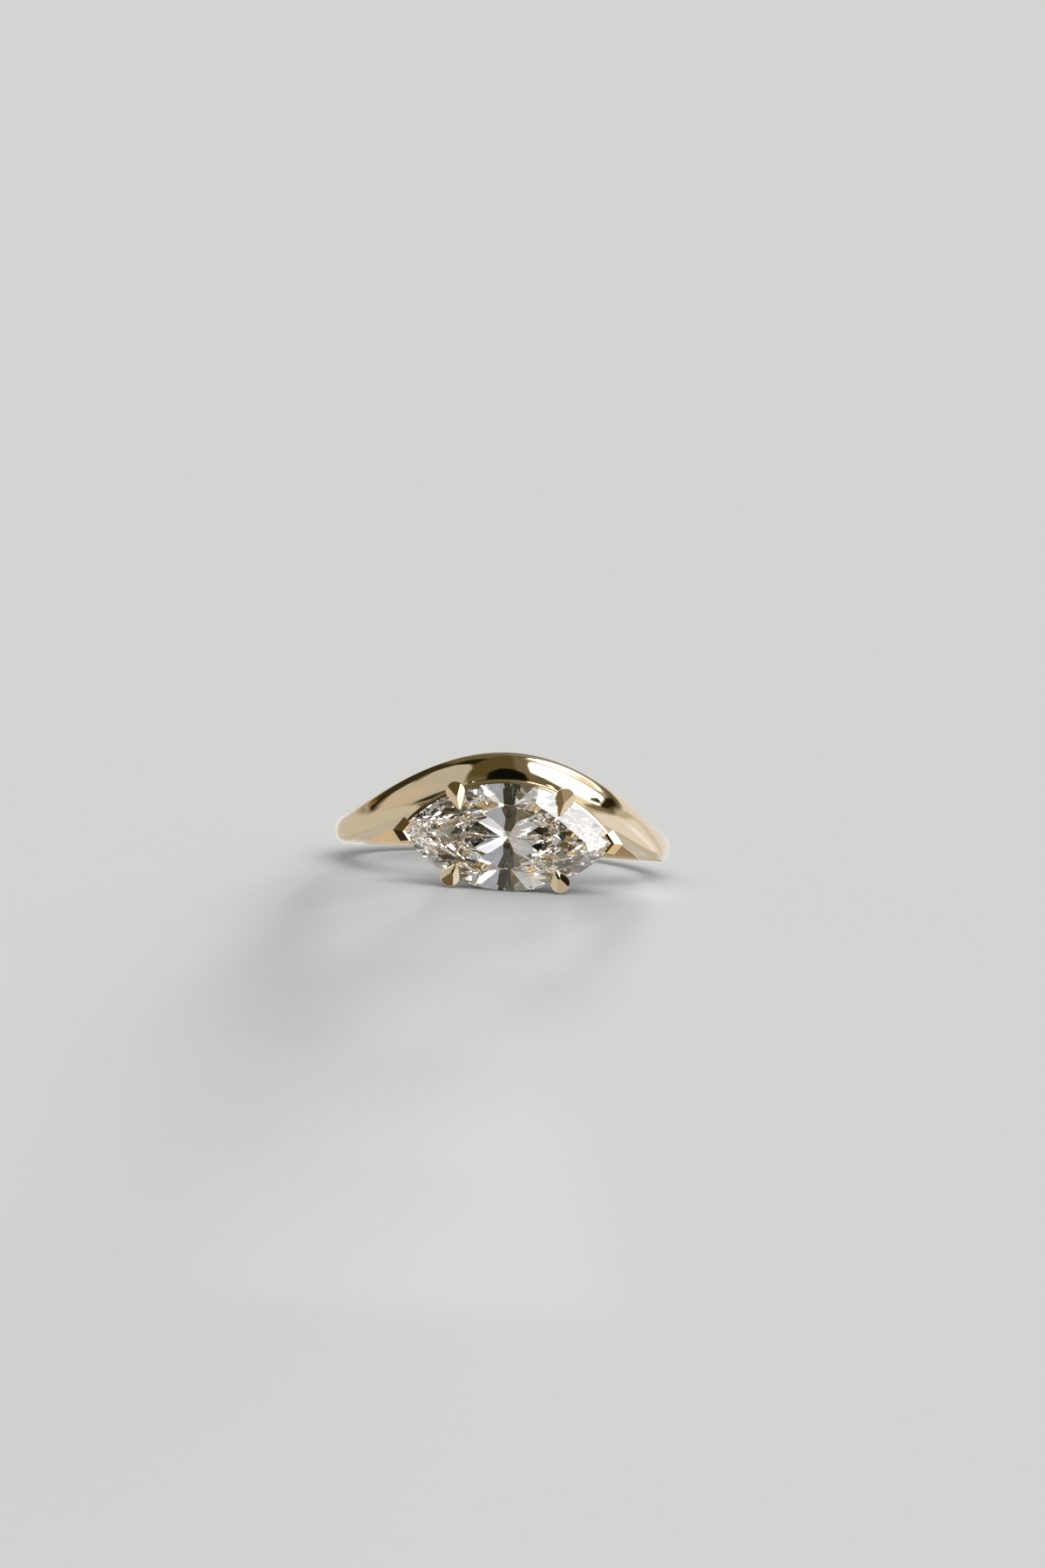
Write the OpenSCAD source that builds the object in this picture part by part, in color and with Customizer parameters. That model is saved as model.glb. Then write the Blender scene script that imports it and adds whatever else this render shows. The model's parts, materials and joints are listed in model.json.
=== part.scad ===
// Marquise solitaire ring, yellow gold, all sizes in mm.
// It lies on its side as it rests: the finger hole points up and leans back by the rest angle,
// the stone faces the front (-Y) and sits off the band, which arches over its upper side.
// Band frame: finger axis on Z, head toward -Y. Head frame: X along the stone, Y toward the
// band's arch, Z outward from the finger.

/* [Finger hole] */
// Radius of the hole for the finger
bore_r = 8.25; // [7:0.05:10]
// Radius of the hole behind the widest place, a hair more so the two walls stay apart
bore_back_r = 8.26; // [7:0.01:10]

/* [Band] */
// Width of the shank along the finger
shank_w = 1.64; // [1.2:0.02:3]
// Width of the band behind the stone
head_w = 2.8; // [1.6:0.05:4]
// Thickness of the shank
shank_t = 1.6; // [1.2:0.05:2.2]
// Thickness of the band behind the stone
head_t = 1.75; // [1.2:0.05:2.4]
// Height of the flat sides before the dome begins
side_h = 1.02; // [0.4:0.02:1.6]
// Roundness of the dome: 2 is an ellipse, more is squarer
dome_n = 2.3; // [1.8:0.1:4]
// How far the upper edge rises toward the stone
edge_rise = 4.25; // [2:0.05:6]
// Angle on each side of the stone over which the arch runs
arch_half = 86; // [60:1:110]
// Height of the shank's middle against the stone's middle
shank_a = -0.22; // [-1:0.02:1]

/* [Stone] */
// Length of the marquise
stone_l = 12.2; // [6:0.1:16]
// Width of the marquise
stone_w = 6.1; // [3:0.1:8]
// Length of the table
table_l = 8.74; // [4:0.02:12]
// Width of the table
table_w = 3.66; // [2:0.02:6]
// Height of the crown
crown_h = 0.85; // [0.4:0.01:1.6]
// Height of the girdle
girdle_h = 0.16; // [0.05:0.01:0.4]
// Depth of the pavilion
pavilion_h = 2.5; // [1.6:0.01:4]
// How far down the crown the star facets end, 0 at the table and 1 at the girdle
star_drop = 0.16; // [0.1:0.01:0.7]
// How far toward the culet the lower girdle facets of the sides run
lower_len = 0.86; // [0.4:0.01:0.95]
// Where the keel's facets begin, from the stone's middle
keel_at = 2.0; // [1:0.1:3]
// Distance of the girdle from the finger's axis
girdle_r = 11.45; // [9:0.05:14]

/* [Setting] */
// Gap between the stone and its seats
seat_gap = 0.02; // [0.01:0.005:0.1]
// Claws from the stone's middle, along its length
claw_u = 3.15; // [1:0.05:5]
// Claws from the stone's middle, across its width
claw_v = 2.44; // [1:0.02:4]
// Radius of a claw at the girdle
claw_r = 0.55; // [0.3:0.01:0.9]
// Height of the claws' bend above the girdle
claw_bend = 0.16; // [0:0.02:0.4]
// Foot of a claw on the base rail, along and across
claw_foot = [2.35, 1.52]; // [1:0.01:4]
// Tip of an upper claw, along and across
upper_tip = [2.88, 1.5]; // [1:0.01:4]
// Height of the upper claws' tips above the girdle
upper_rise = 0.78; // [0.5:0.01:1]
// Tip of a lower claw, along and across
lower_tip = [2.85, 1.74]; // [1:0.01:4]
// Height of the lower claws' tips above the girdle
lower_rise = 0.66; // [0.5:0.01:1]
// Radius of the claws' points
point_r = 0.1; // [0.05:0.01:0.3]
// Angle between a V-prong's arm and the stone's length
tip_half = 53; // [40:1:65]
// Inner corner of the V-prongs from the stone's middle
tip_in = 5.86; // [5:0.02:8]
// Thickness of the V-prongs measured along the stone
tip_t = 0.72; // [0.5:0.02:0.9]
// Lengths of a V-prong's upper arm, outside and inside
upper_arm = [1.02, 0.58]; // [0.4:0.02:1.5]
// Lengths of a V-prong's lower arm, outside and inside
lower_arm = [0.78, 0.66]; // [0.4:0.02:1.5]
// How far the V-prongs reach below the girdle's middle
tip_low = 0.42; // [0.2:0.01:0.8]
// Height of the V-prongs' highest edge above the girdle
tip_over = 0.5; // [0.3:0.01:0.9]
// Slope of the V-prongs' tops, down toward the outside
tip_slope = 12; // [5:1:45]
// Width of the bevel toward the stone, measured along the stone
tip_lip = 0.18; // [0.1:0.02:0.4]
// Slope of the bevel, down toward the stone
tip_lip_slope = 11; // [5:1:45]
// Foot of a V-prong's post on the base rail, from the stone's middle
tip_foot = 4.3; // [3:0.05:6]
// Radius of a V-prong's post at its top
tip_post_r = 0.32; // [0.2:0.01:0.5]
// Half length of the upper rail, to its wire's middle
rail_l = 5.65; // [4:0.05:7]
// Half width of the upper rail, to its wire's middle
rail_w = 2.66; // [2:0.02:4]
// How far the upper rail lies off the stone's middle, toward the band
rail_off = 0.26; // [0:0.02:0.6]
// Radius of the upper rail's wire
rail_r = 0.38; // [0.2:0.01:0.6]
// Distance of the upper rail from the finger's axis
rail_z = 10.2; // [9:0.05:11]
// Half length of the base rail, to its wire's middle
base_l = 4.4; // [3:0.05:6]
// Half width of the base rail, to its wire's middle
base_w = 2.0; // [1.2:0.02:3]
// How far the base rail lies off the stone's middle, toward the band
base_off = 0.1; // [0:0.02:0.6]
// Radius of the base rail's wire
base_r = 0.4; // [0.2:0.01:0.6]
// Distance of the base rail from the finger's axis
base_z = 9.12; // [8.8:0.02:10]

/* [Hidden] */

$fn = 96;
STATIONS = 96;
DOME_STEPS = 16;
BALL_STEPS = 8;
WIRE_FN = 32;
GOLD = [0.86, 0.71, 0.46];
CLEAR = [0.86, 0.88, 0.90];
// Size of the blocks that cut or bound other shapes, larger than anything here
BIG = 30;
// How far the band's blank reaches into the hole before the hole is cut
BLANK_IN = 0.3;
// How far a V-prong's blank stands higher than its highest edge
SPARE = 0.05;
// Joined round shapes differ by this share, so that no two surfaces coincide
OVER = 1.06;
// Where facets meet on the outline, as shares of the stone's length from its middle
GIRDLE_AT = [0.131, 0.262, 0.397];

half_l = stone_l / 2;
half_w = stone_w / 2;
arc_r = (half_l * half_l + half_w * half_w) / (2 * half_w);
arc_c = arc_r - half_w;
z_top = girdle_h / 2;
z_bot = -girdle_h / 2;
z_table = z_top + crown_h;
shank_half = shank_w / 2;
low_edge_rise = edge_rise + shank_w - head_w;

// Arch of the band: 1 behind the stone, 0 from the arch's end round the back.
function swell(phi) = abs(phi) < arch_half ? pow(cos(90 * phi / arch_half), 2) : 0;
function edge_up(phi) = shank_a + shank_half + edge_rise * swell(phi);
function edge_low(phi) = shank_a - shank_half + low_edge_rise * swell(phi);
function thick(phi) = shank_t + (head_t - shank_t) * swell(phi);
function signed_pow(x, e) = sign(x) * pow(abs(x), e);

// One cross-section as [radius, height] pairs: two inner corners, then the dome from edge to edge.
function section(phi) =
    let (
        mid = (edge_up(phi) + edge_low(phi)) / 2,
        half = (edge_up(phi) - edge_low(phi)) / 2,
        dome = thick(phi) - side_h,
        e = 2 / dome_n
    )
    concat(
        [[bore_r - BLANK_IN, mid - half], [bore_r - BLANK_IN, mid + half]],
        [for (k = [0:DOME_STEPS])
            let (a = 180 * k / DOME_STEPS)
            [bore_r + side_h + dome * signed_pow(sin(a), e), mid + half * signed_pow(cos(a), e)]]
    );

SECTION_N = DOME_STEPS + 3;

band_points = [
    for (i = [0:STATIONS - 1])
        let (phi = 360 * i / STATIONS, s = section(phi > 180 ? phi - 360 : phi))
        for (p = s) [p[0] * sin(phi), -p[0] * cos(phi), p[1]]
];

function at(i, j) = (i % STATIONS) * SECTION_N + (j % SECTION_N);

band_faces = [
    for (i = [0:STATIONS - 1])
        for (j = [0:SECTION_N - 1])
            for (t = [0, 1])
                t == 0
                    ? [at(i, j), at(i + 1, j + 1), at(i, j + 1)]
                    : [at(i, j), at(i + 1, j), at(i + 1, j + 1)]
];

// Places on the outline where facets meet, for one quarter of the stone.
function outline(u) = [u, sqrt(arc_r * arc_r - u * u) - arc_c];
g0 = [0, half_w];
m1 = outline(stone_l * GIRDLE_AT[0]);
g1 = outline(stone_l * GIRDLE_AT[1]);
m2 = outline(stone_l * GIRDLE_AT[2]);
g2 = [half_l, 0];
n1 = [g1[0], g1[1] + arc_c] / arc_r;
h1 = n1 * g1;
run_side = half_w - table_w / 2;
run_tip = half_l - table_l / 2;
f_star = 1 - star_drop;

t0 = [0, table_w / 2, z_table];
t1 = [g1[0] - run_side * n1[0], g1[1] - run_side * n1[1], z_table];
t2 = [table_l / 2, 0, z_table];
s1_v = half_w - run_side * f_star;
s1 = [(h1 - run_side * f_star - n1[1] * s1_v) / n1[0], s1_v, z_top + crown_h * f_star];
s2_u = half_l - run_tip * f_star;
s2 = [s2_u, (h1 - run_side * f_star - n1[0] * s2_u) / n1[1], z_top + crown_h * f_star];
q1 = [(h1 - n1[1] * half_w) / n1[0], half_w];
l1 = [(1 - lower_len) * q1[0], (1 - lower_len) * q1[1], z_bot - lower_len * pavilion_h];
l2 = [keel_at, 0, z_bot - pavilion_h * (1 - keel_at * n1[0] / h1)];

function up(p) = [p[0], p[1], z_top];
function down(p) = [p[0], p[1], z_bot];

// Plane through three points as [unit normal away from the stone's middle, distance].
function plane3(a, b, c) =
    let (n = cross(b - a, c - a), u = n / norm(n), d = u * a)
    d < 0 ? [-u, -d] : [u, d];
function slope(nx, ny, nz, d) =
    let (n = [nx, ny, nz], k = norm(n))
    [n / k, d / k];

// Facets of the sides, the crown's facet at the tips, then those repeated in each quarter.
side_planes = [
    slope(0, 1, run_side / crown_h, half_w + z_top * run_side / crown_h),
    slope(0, 1 / half_w, -1 / pavilion_h, 1 - z_bot / pavilion_h)
];
tip_plane = slope(1, 0, run_tip / crown_h, half_l + z_top * run_tip / crown_h);
quarter_planes = [
    slope(n1[0], n1[1], run_side / crown_h, h1 + z_top * run_side / crown_h),
    plane3(t0, t1, s1),
    plane3(t1, t2, s2),
    plane3(s1, up(g0), up(m1)),
    plane3(s1, up(m1), up(g1)),
    plane3(s2, up(g1), up(m2)),
    plane3(s2, up(m2), up(g2)),
    slope(n1[0] / h1, n1[1] / h1, -1 / pavilion_h, 1 - z_bot / pavilion_h),
    plane3(l1, down(g0), down(m1)),
    plane3(l1, down(m1), down(g1)),
    plane3(l2, down(g1), down(m2)),
    plane3(l2, down(m2), down(g2))
];

// Every facet's plane in all four quarters, the table first.
function turned(p, sx, sy) = [[p[0][0] * sx, p[0][1] * sy, p[0][2]], p[1]];
all_planes = concat(
    [[[0, 0, 1], z_table]],
    [for (p = side_planes) for (sy = [-1, 1]) turned(p, 1, sy)],
    [for (sx = [-1, 1]) turned(tip_plane, sx, 1)],
    [for (p = quarter_planes) for (sx = [-1, 1]) for (sy = [-1, 1]) turned(p, sx, sy)]
);

// Block whose one face lies on a facet's plane, with what the plane bounds inside the block.
module facet_block(plane, grow = 0) {
    n = plane[0];
    rotate([0, acos(n[2]), atan2(n[1], n[0])])
        translate([-BIG / 2, -BIG / 2, plane[1] + grow - BIG])
            cube(BIG);
}

// One curved side of the girdle, as a cylinder taller than the stone.
module side_cylinder(v, grow) {
    h = 2 * (pavilion_h + crown_h);
    translate([0, v, -h / 2])
        cylinder(r = arc_r + grow, h = h);
}

// The cut stone, grown by a gap when it is used to cut the seats.
module stone_shape(grow = 0) {
    intersection() {
        side_cylinder(-arc_c, grow);
        side_cylinder(arc_c, grow);
        intersection_for (p = all_planes)
            facet_block(p, grow);
    }
}

// The hole, wider by a hair in its rear half.
module finger_hole() {
    translate([0, 0, -BIG / 2])
        cylinder(r = bore_r, h = BIG);
    intersection() {
        translate([0, 0, -BIG / 2])
            cylinder(r = bore_back_r, h = BIG);
        translate([-BIG / 2, 0, -BIG / 2])
            cube(BIG);
    }
}

module band() {
    color(GOLD)
    difference() {
        polyhedron(points = band_points, faces = band_faces, convexity = 6);
        finger_hole();
    }
}

// Half outline of two balls joined by a cone that touches both, the first at the origin.
function taper_outline(d, ra, rb) =
    let (lean = asin((ra - rb) / d))
    concat(
        [for (k = [0:BALL_STEPS])
            let (a = -90 + (90 + lean) * k / BALL_STEPS)
            [k == 0 ? 0 : ra * cos(a), ra * sin(a)]],
        [for (k = [0:BALL_STEPS / 2])
            let (a = lean + (90 - lean) * k * 2 / BALL_STEPS)
            [k == BALL_STEPS / 2 ? 0 : rb * cos(a), d + rb * sin(a)]]
    );

// Round bar between two points with a ball end of its own radius at each.
module taper(a, b, ra, rb) {
    d = b - a;
    len = norm(d);
    translate(a)
        rotate([0, acos(d[2] / len), atan2(d[1], d[0])])
            rotate_extrude()
                polygon(taper_outline(len, ra, rb));
}

// A claw's flats, filed onto its round end: distance from the axis at the bend, turn round the
// axis from straight out, and lean toward the point.
CLAW_FLATS = [[0.36, 0, 2], [0.46, -44, 18.5], [0.46, 44, 18.5]];

// Plane of a flat, on a claw that runs from its bend in the direction w.
function flat_plane(flat, bend, w) =
    let (
        up = [0, 0, 1] - w * w[2],
        front = up / norm(up),
        out = front * cos(flat[1]) + cross(w, front) * sin(flat[1]),
        n = out * cos(flat[2]) + w * sin(flat[2])
    )
    [n, n * (bend + out * flat[0])];

// Claw: a post from the base rail to the girdle, and a teardrop point bent in over the crown.
module claw(tip, rise) {
    foot = [claw_foot[0], claw_foot[1], base_z];
    bend = [claw_u, claw_v, girdle_r + claw_bend];
    point = [tip[0], tip[1], girdle_r + rise];
    w = (point - bend) / norm(point - bend);
    intersection() {
        union() {
            taper(foot, bend, base_r * OVER, claw_r / OVER);
            taper(bend, point, claw_r, point_r);
        }
        intersection_for (flat = CLAW_FLATS)
            facet_block(flat_plane(flat, bend, w));
    }
}

module claws() {
    color(GOLD)
    for (sx = [0, 1])
        mirror([sx, 0, 0]) {
            claw(upper_tip, upper_rise);
            mirror([0, 1, 0])
                claw(lower_tip, lower_rise);
        }
}

// Plane through a V-prong's highest edge that leans across the arm.
function top_plane(lean) =
    let (n = [sin(tip_half) * sin(lean), cos(tip_half) * sin(lean), cos(lean)])
    [n, n * [tip_in + tip_lip, 0, girdle_r + tip_over]];

// One arm of a V-prong: its top slopes down to the outside, and a bevel falls toward the stone.
module prong_arm(lengths) {
    along = [-cos(tip_half), sin(tip_half)];
    inner = [tip_in, 0];
    outer = [tip_in + tip_t, 0];
    intersection() {
        translate([0, 0, girdle_r - tip_low])
            linear_extrude(height = tip_low + tip_over + SPARE)
                polygon([inner, outer, outer + along * lengths[0], inner + along * lengths[1]]);
        facet_block(top_plane(tip_slope));
        facet_block(top_plane(-tip_lip_slope));
    }
}

// V-prong over one end of the stone, on a post that stands within its outer corner.
module v_prong() {
    post_in = tip_post_r * OVER / sin(tip_half);
    post_top = [tip_in + tip_t - post_in, 0, girdle_r - tip_post_r];
    prong_arm(upper_arm);
    mirror([0, 1, 0])
        prong_arm(lower_arm);
    taper([tip_foot, 0, base_z], post_top, base_r, tip_post_r);
}

module v_prongs() {
    color(GOLD)
    for (sx = [0, 1])
        mirror([sx, 0, 0])
            v_prong();
}

// Wire bent to the stone's shape: two arcs that meet in the ends.
module marquise_wire(half_len, half_wid, z, r) {
    ra = (half_len * half_len + half_wid * half_wid) / (2 * half_wid);
    ang = asin(half_len / ra);
    for (s = [0, 1])
        mirror([0, s, 0])
            translate([0, half_wid - ra, z])
                rotate([0, 0, 90 - ang])
                    rotate_extrude(angle = 2 * ang)
                        translate([ra, 0])
                            circle(r = r, $fn = WIRE_FN);
    for (s = [-1, 1])
        translate([s * half_len, 0, z])
            sphere(r = r * OVER);
}

module rails() {
    color(GOLD) {
        translate([0, rail_off, 0])
            marquise_wire(rail_l, rail_w, rail_z, rail_r);
        translate([0, base_off, 0])
            marquise_wire(base_l, base_w, base_z, base_r);
    }
}

module head() {
    difference() {
        union() {
            claws();
            v_prongs();
            rails();
        }
        translate([0, 0, girdle_r])
            stone_shape(seat_gap);
    }
}

// Pose at rest: the stone's lower side and the back of the shank touch the floor.
back_out = bore_r + side_h;
back_low = shank_half - shank_a;
rest_tilt = atan2(half_w - back_low, girdle_r + z_bot + back_out);
rest_lift = back_out * sin(rest_tilt) + back_low * cos(rest_tilt);

// Reach of a dome past its middle in the floor's direction, by the formula of its oval.
function dome_reach(a, b) =
    let (m = dome_n / (dome_n - 1))
    pow(pow(a * cos(rest_tilt), m) + pow(b * sin(rest_tilt), m), 1 / m);

// The table's lower edge is foremost and the back's dome is rearmost.
rest_front = (girdle_r + z_table) * cos(rest_tilt) + table_w / 2 * sin(rest_tilt);
rest_back = back_out * cos(rest_tilt) + shank_a * sin(rest_tilt)
    + dome_reach(shank_t - side_h, shank_half);
rest_shift = (rest_front - rest_back) / 2;

// Ring lying as it rests, its middle over the origin.
module at_rest() {
    translate([0, rest_shift, rest_lift])
        rotate([-rest_tilt, 0, 0])
            children();
}

module gold_mount() {
    at_rest()
        union() {
            band();
            rotate([90, 0, 0])
                head();
        }
}

module marquise_diamond() {
    color(CLEAR)
    at_rest()
        rotate([90, 0, 0])
            translate([0, 0, girdle_r])
                stone_shape();
}

gold_mount();
marquise_diamond();
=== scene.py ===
import json
import math

import bmesh
import bpy
import numpy as np
from mathutils import Matrix, Vector

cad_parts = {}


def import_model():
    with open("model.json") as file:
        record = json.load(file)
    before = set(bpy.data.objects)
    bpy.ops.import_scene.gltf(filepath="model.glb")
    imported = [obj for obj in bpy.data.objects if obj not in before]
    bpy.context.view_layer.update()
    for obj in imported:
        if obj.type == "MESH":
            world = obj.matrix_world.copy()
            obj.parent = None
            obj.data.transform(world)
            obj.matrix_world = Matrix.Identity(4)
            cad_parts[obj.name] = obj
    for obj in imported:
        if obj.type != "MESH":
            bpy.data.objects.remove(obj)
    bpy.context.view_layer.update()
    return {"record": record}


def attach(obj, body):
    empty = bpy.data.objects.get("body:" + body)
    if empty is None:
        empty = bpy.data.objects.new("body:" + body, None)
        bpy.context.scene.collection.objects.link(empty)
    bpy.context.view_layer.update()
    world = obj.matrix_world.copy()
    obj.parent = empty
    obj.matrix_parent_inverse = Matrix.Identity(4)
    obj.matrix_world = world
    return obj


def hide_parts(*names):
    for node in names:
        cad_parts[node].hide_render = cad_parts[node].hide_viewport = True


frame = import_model()

# Marquise solitaire ring, lying on its side. Lengths are in millimetres until a piece is placed.
# Band frame: the finger's axis on Z, the head toward -Y. Head frame: X along the stone, Y toward the
# band's arch, Z outward from the finger.
MM = 0.001

# Finger hole and band
hole = frame["record"]["mounts"][0]
BORE_R = hole["dims"]["r_mm"]
SHANK_W = 1.64  # width along the finger
HEAD_W = 2.8  # the same behind the stone
SHANK_T = 1.6  # thickness
HEAD_T = 1.75  # the same behind the stone
SIDE_H = 1.02  # flat sides below the dome
DOME_N = 2.3  # roundness of the dome: 2 is an ellipse, more is squarer
EDGE_RISE = 4.25  # rise of the upper edge toward the stone
ARCH_HALF = math.radians(86)  # angle on each side of the stone over which the arch runs
SHANK_A = -0.22  # height of the shank's middle against the stone's
EDGE_ROUND = 0.12  # radius of the edges of the hole
HOLD = 0.07  # distance from an edge to the extra points that keep its flats flat

# Stone
STONE_L = 12.2
STONE_W = 6.1
TABLE_L = 8.74
TABLE_W = 3.66
CROWN_H = 0.85
GIRDLE_H = 0.16
PAVILION_H = 2.5
STAR_DROP = 0.16  # how far down the crown the stars end, 0 at the table and 1 at the girdle
LOWER_LEN = 0.86  # how far toward the culet the lower girdle facets of the sides run
KEEL_AT = 2.0  # where the keel's facets begin, from the stone's middle
GIRDLE_R = 11.45  # girdle's distance from the finger's axis
GIRDLE_AT = (0.131, 0.262, 0.397)  # where facets meet on the girdle, as shares of the stone's length

# Claws
SEAT_GAP = 0.02  # between the stone and its seats, the V-prongs' too
CLAW_U = 3.15  # from the stone's middle, along its length
CLAW_V = 2.44  # from the stone's middle, across its width
CLAW_R = 0.55  # radius at the girdle
CLAW_BEND = 0.16  # height of the bend above the girdle
CLAW_FOOT = (2.35, 1.52)  # foot on the base rail, along and across
UPPER_TIP = (2.88, 1.5, 0.78)  # tip along, across and above the girdle
LOWER_TIP = (2.85, 1.74, 0.66)
POINT_R = 0.1  # radius at the point
POST_SHARE = 0.94  # radius of a post under its claw, as a share of the claw's

# V-prongs
TIP_HALF = math.radians(53)  # angle between an arm and the stone's length
TIP_IN = 5.86  # inner corner from the stone's middle
TIP_T = 0.72  # thickness measured along the stone
TIP_LIP = 0.18  # width of the bevel toward the stone, measured along the stone
TIP_LIP_SLOPE = math.radians(11)  # slope of that bevel, down toward the stone
TIP_SLOPE = math.radians(12)  # slope of the top, down toward the outside
UPPER_ARM = (1.02, 0.58)  # length of the arm outside and inside
LOWER_ARM = (0.78, 0.66)
TIP_LOW = 0.42  # reach below the girdle's middle
TIP_OVER = 0.5  # height of the highest edge above the girdle
TIP_SPARE = 0.03  # height above that edge, which the two slopes cut off
TIP_FOOT = 4.3  # foot of the post on the base rail, from the stone's middle
TIP_POST_R = 0.32  # radius of the post at its top
TIP_POST_IN = 1.06  # distance of the post's top from the arms' outer faces, as a share of its radius
TIP_BEVEL = 0.03
TIP_BEVEL_ANGLE = 16

# Rails: half length and half width to the wire's middle, how far they lie off the stone's middle toward
# the band, distance from the finger's axis, and radius of the wire
RAIL = {"half_l": 5.65, "half_w": 2.66, "off": 0.26, "z": 10.2, "r": 0.38}
BASE = {"half_l": 4.4, "half_w": 2.0, "off": 0.1, "z": 9.12, "r": 0.4}

# Pose at rest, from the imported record: the finger's axis and the middle of the hole
axis = Vector(hole["axis"]).normalized()
REST_TILT = math.atan2(axis.y, axis.z)
origin = Vector(hole["pos_m"]) / MM - axis * (SHANK_A + EDGE_RISE / 2)
RING = Matrix.Translation(origin) @ Matrix.Rotation(-REST_TILT, 4, "X")
HEAD = RING @ Matrix.Rotation(math.pi / 2, 4, "X")

# Mesh helpers

ON_PLANE = 1e-6  # a point nearer to a plane than this lies on it
MERGE = 1e-5  # points nearer to each other than this are one
NEARLY_ZERO = 1e-9
CRISP_ANGLE = 35  # where faces meet at more than this many degrees, the edge looks crisp


def linked(name, data):
    """Object for the data, in the scene."""
    obj = bpy.data.objects.new(name, data)
    bpy.context.scene.collection.objects.link(obj)
    return obj


def new_object(name, bm):
    """Object with this mesh, its faces turned outward."""
    mesh = bpy.data.meshes.new(name)
    bmesh.ops.recalc_face_normals(bm, faces=bm.faces)
    bm.to_mesh(mesh)
    bm.free()
    return linked(name, mesh)


def loft(name, rings, loop=False):
    """Skin through rings of equal length; the ends are capped unless the rings loop."""
    bm = bmesh.new()
    rows = [[bm.verts.new(p) for p in ring] for ring in rings]
    count = len(rows[0])
    for i in range(len(rows) if loop else len(rows) - 1):
        a, b = rows[i], rows[(i + 1) % len(rows)]
        for k in range(count):
            bm.faces.new((a[k], a[(k + 1) % count], b[(k + 1) % count], b[k]))
    if not loop:
        bm.faces.new(rows[0])
        bm.faces.new(rows[-1])
    return new_object(name, bm)


def block(low, high):
    """Mesh with flat walls between a lower and an upper outline of as many points."""
    bm = bmesh.new()
    bottom = [bm.verts.new(p) for p in low]
    top = [bm.verts.new(p) for p in high]
    bm.faces.new(bottom)
    bm.faces.new(top)
    for k in range(len(bottom)):
        j = (k + 1) % len(bottom)
        bm.faces.new((bottom[k], bottom[j], top[j], top[k]))
    return bm


def bake(obj):
    """Replaces an object's mesh by what its modifiers make of it."""
    graph = bpy.context.evaluated_depsgraph_get()
    mesh = bpy.data.meshes.new_from_object(obj.evaluated_get(graph))
    old = obj.data
    obj.modifiers.clear()
    obj.data = mesh
    bpy.data.meshes.remove(old)


def combine(obj, other, operation):
    """Joins another object to this one or cuts it out of it, and takes the other one away."""
    step = obj.modifiers.new(operation.lower(), "BOOLEAN")
    step.operation = operation
    step.solver = "EXACT"
    step.object = other
    bake(obj)
    bpy.data.objects.remove(other)


def cut_away(bm, at, normal):
    """Cuts off what lies beyond a plane and closes the cut."""
    cut = bmesh.ops.bisect_plane(
        bm, geom=bm.verts[:] + bm.edges[:] + bm.faces[:], dist=ON_PLANE,
        plane_co=at, plane_no=normal, clear_outer=True,
    )
    edges = [e for e in cut["geom_cut"] if isinstance(e, bmesh.types.BMEdge)]
    if edges:
        bmesh.ops.contextual_create(bm, geom=edges)


def chamfer(obj, width, angle):
    """Breaks the edges where faces meet at more than the angle."""
    step = obj.modifiers.new("chamfer", "BEVEL")
    step.width = width
    step.segments = 1
    step.limit_method = "ANGLE"
    step.angle_limit = math.radians(angle)
    bake(obj)


def shade(obj, angle):
    """Smooth shading with crisp edges where faces meet at more than the angle."""
    mesh = obj.data
    mesh.polygons.foreach_set("use_smooth", [True] * len(mesh.polygons))
    mesh.set_sharp_from_angle(angle=math.radians(angle))


def place(obj, matrix):
    """Turns a mesh in millimetres into one in metres, where the ring lies."""
    obj.data.transform(Matrix.Scale(MM, 4) @ matrix)


def gold_piece(obj, matrix, angle=CRISP_ANGLE):
    """Lays a piece of gold where it belongs and gives it its shading, its metal and its part."""
    place(obj, matrix)
    shade(obj, angle)
    obj.data.materials.clear()
    obj.data.materials.append(gold_material())
    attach(obj, "root")
    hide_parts("gold_mount")


# Band

DOME_STEPS = 36
STATIONS = 384
ROUND_STEPS = 4


def swell(phi):
    """How much of the arch there is at an angle round the finger: 1 behind the stone, 0 at the shank."""
    return math.cos(math.pi / 2 * phi / ARCH_HALF) ** 2 if abs(phi) < ARCH_HALF else 0.0


def signed_pow(x, e):
    """Power of a number's size that keeps its sign."""
    return math.copysign(abs(x) ** e, x)


def corner(r, a, start, turn):
    """Arc round a point of the section, as (radius, height) pairs."""
    angles = [start + turn * k / ROUND_STEPS for k in range(ROUND_STEPS + 1)]
    return [(r + EDGE_ROUND * math.cos(t), a + EDGE_ROUND * math.sin(t)) for t in angles]


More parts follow.
